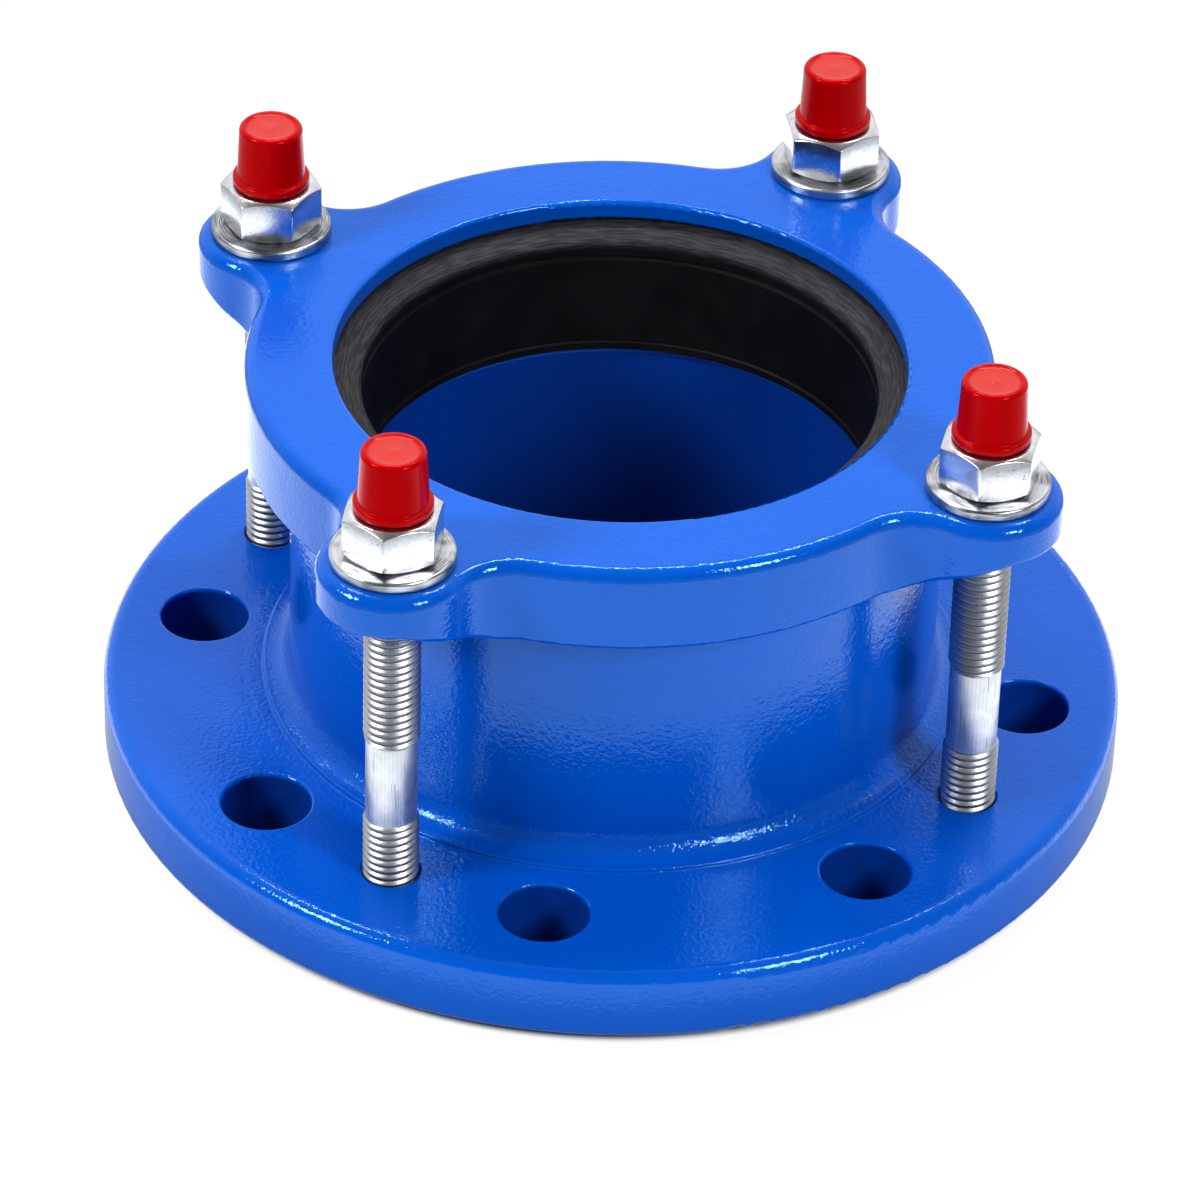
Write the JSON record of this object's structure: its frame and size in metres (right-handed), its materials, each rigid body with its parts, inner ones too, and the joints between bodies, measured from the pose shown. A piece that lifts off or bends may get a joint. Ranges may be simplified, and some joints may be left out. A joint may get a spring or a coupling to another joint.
{
  "type": "flange adaptor",
  "caption": "Flange adaptor: coated cast body with drilled flange and bell, rubber wedge gasket, and a lugged gland ring on studs with nuts, washers and end caps.",
  "frame": {"origin": "centre of the flange's raised face, which is the lowest face", "axes": "+Z along the pipe's axis from the flange to the pipe; +X between two studs, midway between two bolt holes"},
  "size_m": [0.22, 0.22, 0.1247],
  "materials": {
    "coated_iron": "glossy blue epoxy powder coat with a fine orange-peel texture",
    "rubber": "matt black moulded rubber",
    "zinc_steel": "bright zinc plating",
    "red_plastic": "glossy, slightly translucent moulded plastic"
  },
  "bodies": {
    "body": {"flange_body": "coated_iron", "gasket": "rubber", "stud_1": "zinc_steel", "stud_2": "zinc_steel", "stud_3": "zinc_steel", "stud_4": "zinc_steel"},
    "gland": {"gland_ring": "coated_iron", "washer_1": "zinc_steel", "washer_2": "zinc_steel", "washer_3": "zinc_steel", "washer_4": "zinc_steel"},
    "nut_1": {"nut_1": "zinc_steel"},
    "nut_2": {"nut_2": "zinc_steel"},
    "nut_3": {"nut_3": "zinc_steel"},
    "nut_4": {"nut_4": "zinc_steel"},
    "cap_1": {"cap_1": "red_plastic"},
    "cap_2": {"cap_2": "red_plastic"},
    "cap_3": {"cap_3": "red_plastic"},
    "cap_4": {"cap_4": "red_plastic"}
  },
  "joints": [
    {"name": "gland_slide", "type": "slide", "parent": "body", "child": "gland", "axis": [0, 0, 1], "range_m": [-0.007, 0], "deforming": ["gasket"]},
    {"name": "nut_1_turn", "type": "hinge", "parent": "gland", "child": "nut_1", "pos_m": [0.0624, 0.0624, 0.1057], "axis": [0, 0, 1], "range_deg": [-1440, 0]},
    {"name": "nut_2_turn", "type": "hinge", "parent": "gland", "child": "nut_2", "pos_m": [-0.0624, 0.0624, 0.1057], "axis": [0, 0, 1], "range_deg": [-1440, 0]},
    {"name": "nut_3_turn", "type": "hinge", "parent": "gland", "child": "nut_3", "pos_m": [-0.0624, -0.0624, 0.1057], "axis": [0, 0, 1], "range_deg": [-1440, 0]},
    {"name": "nut_4_turn", "type": "hinge", "parent": "gland", "child": "nut_4", "pos_m": [0.0624, -0.0624, 0.1057], "axis": [0, 0, 1], "range_deg": [-1440, 0]},
    {"name": "cap_1_pull", "type": "slide", "parent": "body", "child": "cap_1", "axis": [0, 0, 1], "range_m": [0, 0.03]},
    {"name": "cap_2_pull", "type": "slide", "parent": "body", "child": "cap_2", "axis": [0, 0, 1], "range_m": [0, 0.03]},
    {"name": "cap_3_pull", "type": "slide", "parent": "body", "child": "cap_3", "axis": [0, 0, 1], "range_m": [0, 0.03]},
    {"name": "cap_4_pull", "type": "slide", "parent": "body", "child": "cap_4", "axis": [0, 0, 1], "range_m": [0, 0.03]}
  ],
  "couplings": [
    {"joint": "nut_1_turn", "follows": "gland_slide", "rad_per_m": 3590.4},
    {"joint": "nut_2_turn", "follows": "gland_slide", "rad_per_m": 3590.4},
    {"joint": "nut_3_turn", "follows": "gland_slide", "rad_per_m": 3590.4},
    {"joint": "nut_4_turn", "follows": "gland_slide", "rad_per_m": 3590.4}
  ]
}
